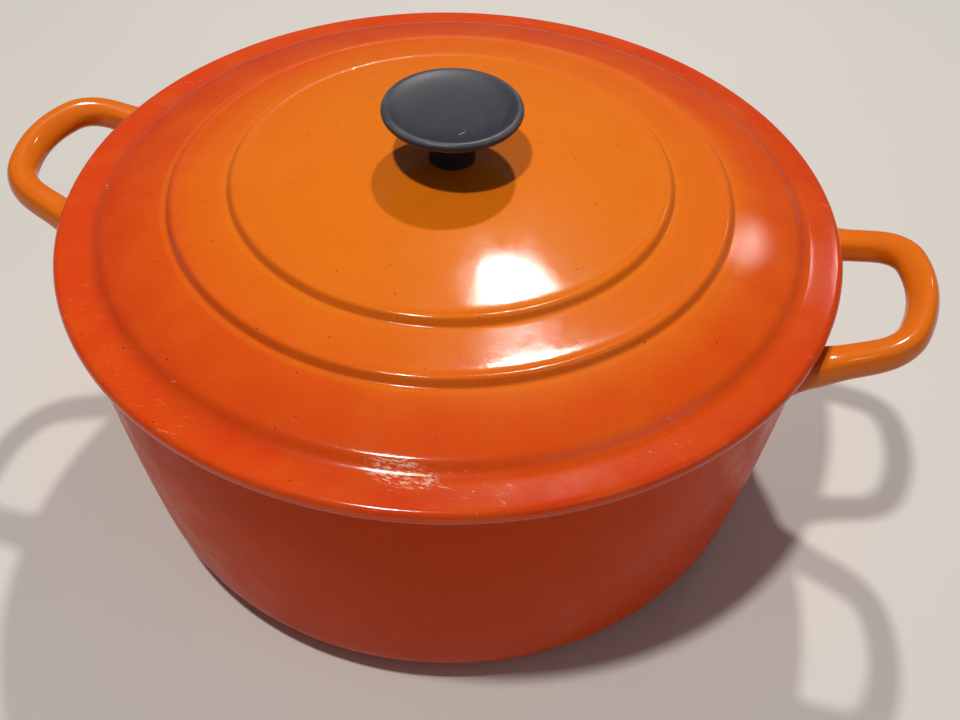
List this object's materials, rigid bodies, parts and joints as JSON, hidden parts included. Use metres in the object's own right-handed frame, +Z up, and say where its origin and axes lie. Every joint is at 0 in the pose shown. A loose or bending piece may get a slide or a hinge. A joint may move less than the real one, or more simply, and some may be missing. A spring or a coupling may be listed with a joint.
{
  "type": "round enamelled dutch oven",
  "caption": "Round enamelled cast iron dutch oven with loop handles and a stepped domed lid that lifts off by a flat round knob.",
  "frame": {"origin": "middle of the foot ring, on the surface that the pot stands on", "axes": "+Z up along the axis of the pot and lid; the two handles lie along +X and -X"},
  "size_m": [0.3656, 0.295, 0.1693],
  "materials": {
    "cast_iron": "matte",
    "handle_enamel": "gloss",
    "outer_enamel": "gloss",
    "inner_enamel": "gloss",
    "rim_coat": "matte",
    "knob_resin": "satin",
    "insert_brass": "satin",
    "screw_steel": "satin"
  },
  "bodies": {
    "pot": {"pot_casting": "cast_iron", "left_handle": "handle_enamel", "right_handle": "handle_enamel", "pot_outer_enamel": "outer_enamel", "pot_base_enamel": "outer_enamel", "pot_inner_enamel": "inner_enamel", "pot_rim_coat": "rim_coat"},
    "lid": {"lid_casting": "cast_iron", "lid_outer_enamel": "outer_enamel", "lid_inner_enamel": "inner_enamel", "lid_rim_coat": "rim_coat", "knob": "knob_resin", "knob_insert": "insert_brass"},
    "washer": {"knob_washer": "screw_steel"},
    "screw": {"knob_screw": "screw_steel"}
  },
  "joints": [
    {"name": "lid_lift", "type": "slide", "parent": "pot", "child": "lid", "axis": [0, 0, 1], "range_m": [0, 0.2]},
    {"name": "washer_drop", "type": "slide", "parent": "lid", "child": "washer", "axis": [0, 0, -1], "range_m": [0, 0.008]},
    {"name": "screw_turn", "type": "hinge", "parent": "washer", "child": "screw", "pos_m": [0, 0, 0.141], "axis": [0, 0, -1], "range_deg": [0, 2880.1]}
  ],
  "couplings": [
    {"joint": "screw_turn", "follows": "washer_drop", "rad_per_m": 6283.2}
  ]
}
